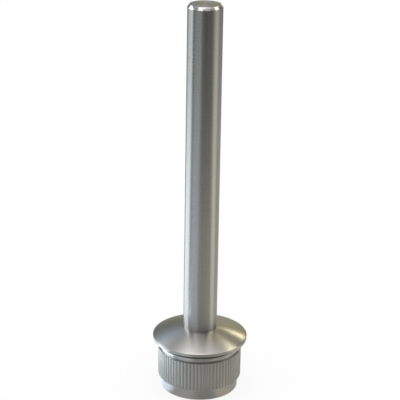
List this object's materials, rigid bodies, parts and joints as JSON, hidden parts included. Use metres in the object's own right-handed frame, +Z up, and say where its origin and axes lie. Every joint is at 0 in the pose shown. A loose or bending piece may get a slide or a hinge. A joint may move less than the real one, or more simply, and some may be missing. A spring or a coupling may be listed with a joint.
{
  "type": "railing tube adapter",
  "caption": "Straight round rod standing on a shallow domed cap, whose straight-knurled drive-in plug closes a round railing tube so that the rod can carry a handrail.",
  "frame": {"origin": "centre of the plug's bottom face, on the axis of the rod and the plug", "axes": "+Z up along the rod, out of the tube that the plug closes; the part is turned, so +X and +Y are free"},
  "size_m": [0.0338, 0.0336, 0.1404],
  "materials": {
    "turned_steel": "satin, with fine rings left by turning",
    "brushed_bar": "satin, brushed round the bar",
    "screw_steel": "plain bright stainless"
  },
  "bodies": {
    "root": {"domed_plug_cap": "turned_steel", "round_rod": "brushed_bar", "socket_head_screw": "screw_steel"}
  },
  "joints": []
}
